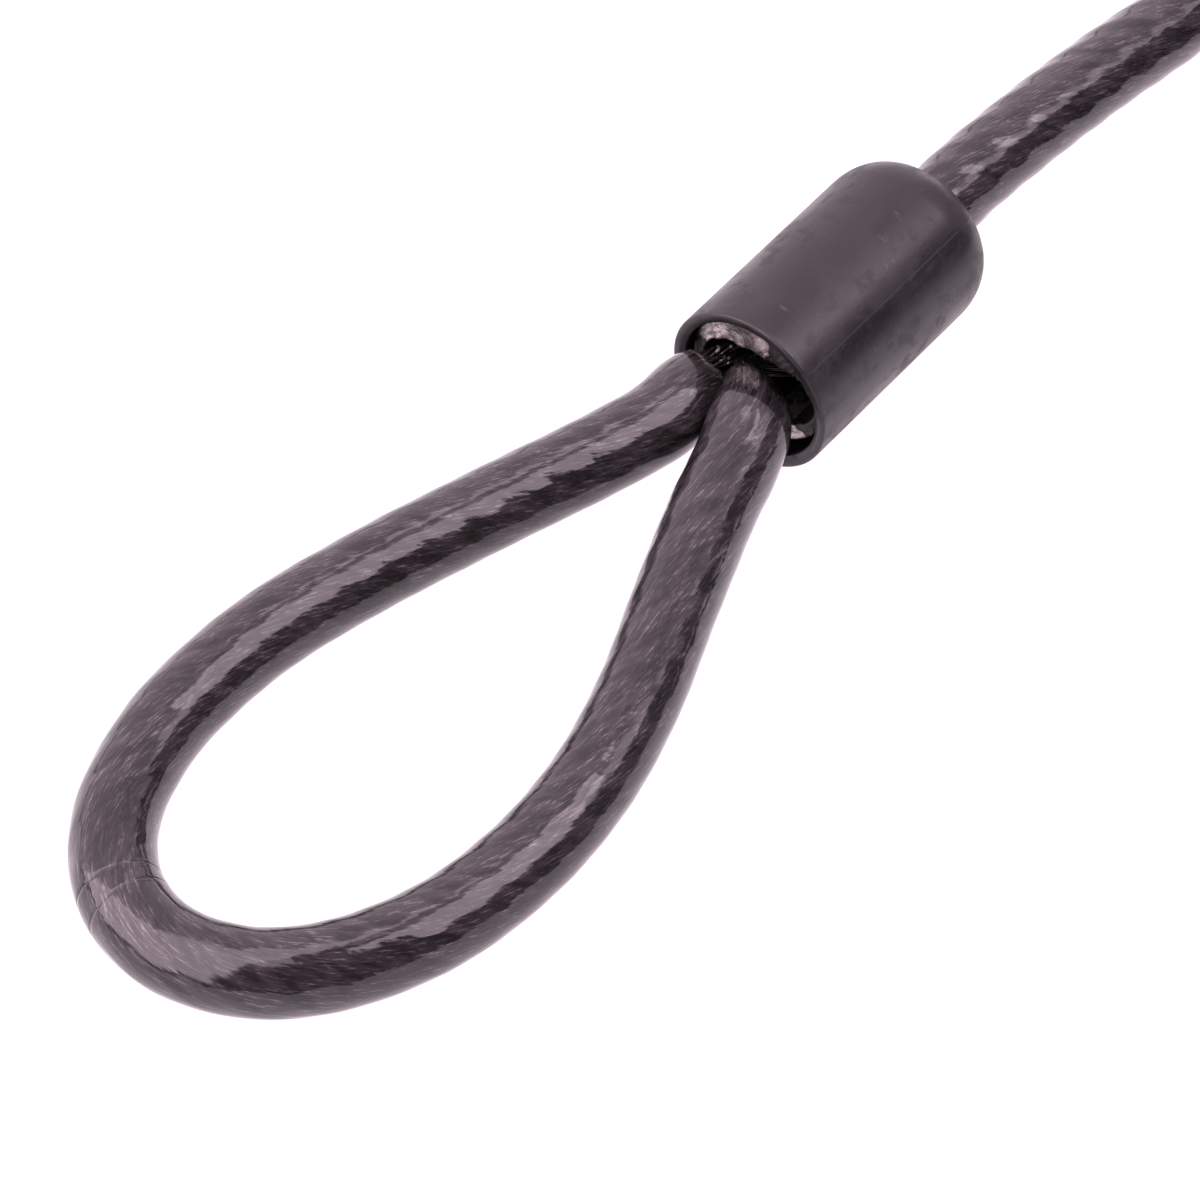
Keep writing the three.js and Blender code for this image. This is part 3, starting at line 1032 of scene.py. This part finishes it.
def floor():
    """A lit white table: bright enough by itself that the shadows on it stay faint."""
    m = Surface("pale_floor", Roughness=0.9, Specular_IOR_Level=0.1)
    mottle = m.noise(m.position(), 3.0)
    m.set("Base Color", m.mix(mottle, (0.130, 0.160, 0.142, 1), (0.134, 0.165, 0.146, 1)))
    m.set("Emission Color", FLOOR_GLOW)
    m.set("Emission Strength", FLOOR_GLOW_STRENGTH)
    points = np.array([(-1, -1, 0), (1, -1, 0), (1, 1, 0), (-1, 1, 0)]) * FLOOR_HALF
    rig.stage(mesh_object("floor", points, [(0, 1, 2, 3)], m.material, smooth=False))


# Softboxes: azimuth and elevation of the middle and roll, in degrees, half width and half height as
# tangents, and brightness
SOFTBOXES = [
    (299.4, 57.5, 64, 0.36, 0.30, 4.4),
    (321.0, 41.5, 0, 0.12, 0.16, 3.0),
]
# How softly their edges fall off, across their width and across their height
SOFTBOX_EDGES = (0.12, 0.06)
# Lit walls and ceiling: azimuth and elevation ranges in degrees, edge softness and brightness
PATCHES = [
    ((104, 190), (7, 110), 6, 4.2),
    ((12, 104), (68, 110), 6, 3.8),
    ((190, 230), (68, 110), 8, 2.6),
    ((12, 104), (3, 68), 8, 1.3),
    ((-30, 12), (18, 68), 8, 1.0),
    ((-35, 12), (68, 110), 8, 1.2),
    ((-35, 24), (-8, 6), 5, 2.0),
]
BASE_LIGHT = 0.16
LIGHT_TINT = (1.0, 0.81, 0.925)


def studio():
    """The room's light: soft patches in a dim surround, and softboxes with straight edges."""
    world = bpy.data.worlds.new("studio")
    bpy.context.scene.world = world
    world.use_nodes = True
    sky = Tree(world.node_tree)
    direction = sky.node("ShaderNodeTexCoord").outputs["Generated"]
    x, y, z = sky.xyz(direction)
    azimuth = sky.maths("MULTIPLY", sky.maths("ARCTAN2", y, x), 180 / math.pi)
    elevation = sky.maths("MULTIPLY", sky.maths("ARCSINE", z), 180 / math.pi)

    def inside(value, low, high, soft):
        """1 between low and high, falling to 0 across each of them over a soft edge."""
        middle, half = (low + high) / 2, (high - low) / 2
        away = sky.maths("ABSOLUTE", sky.maths("SUBTRACT", value, middle))
        return sky.ramp(away, half - soft / 2, half + soft / 2, 1.0, 0.0)

    def dot(vector):
        made = sky.node("ShaderNodeVectorMath", {0: direction, 1: vector}, operation="DOT_PRODUCT")
        return made.outputs["Value"]

    def patch(azimuths, elevations, soft):
        from_middle = sky.maths("SUBTRACT", azimuth, sum(azimuths) / 2)
        turned = sky.maths("WRAP", from_middle, 180.0, -180.0)
        half = (azimuths[1] - azimuths[0]) / 2
        return sky.maths("MULTIPLY", inside(turned, -half, half, soft), inside(elevation, *elevations, soft))

    def softbox(az, el, roll, half_width, half_height):
        az, el, roll = (math.radians(v) for v in (az, el, roll))
        middle = np.array([math.cos(el) * math.cos(az), math.cos(el) * math.sin(az), math.sin(el)])
        level = np.array([-math.sin(az), math.cos(az), 0])
        upward = np.cross(middle, level)
        facing = sky.maths("MAXIMUM", dot(middle), 0.05)
        wide = sky.maths("DIVIDE", dot(math.cos(roll) * level + math.sin(roll) * upward), facing)
        tall = sky.maths("DIVIDE", dot(math.cos(roll) * upward - math.sin(roll) * level), facing)
        return sky.maths(
            "MULTIPLY", inside(wide, -half_width, half_width, SOFTBOX_EDGES[0]),
            inside(tall, -half_height, half_height, SOFTBOX_EDGES[1]),
        )

    total = BASE_LIGHT
    for *where, power in PATCHES:
        total = sky.plus(total, patch(*where), power)
    for *where, power in SOFTBOXES:
        total = sky.plus(total, softbox(*where), power)
    light = sky.node("ShaderNodeVectorMath", {0: LIGHT_TINT, "Scale": total}, operation="SCALE").outputs[0]
    sky.feed(sky.tree.nodes["Background"].inputs["Color"], light)


floor()
studio()
bpy.context.scene.view_settings.view_transform = "Standard"

with open("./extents.json", "w") as out:
    json.dump({"cad": [list(cad_low), list(cad_high)], "visual": [list(v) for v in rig.bounds()]}, out)
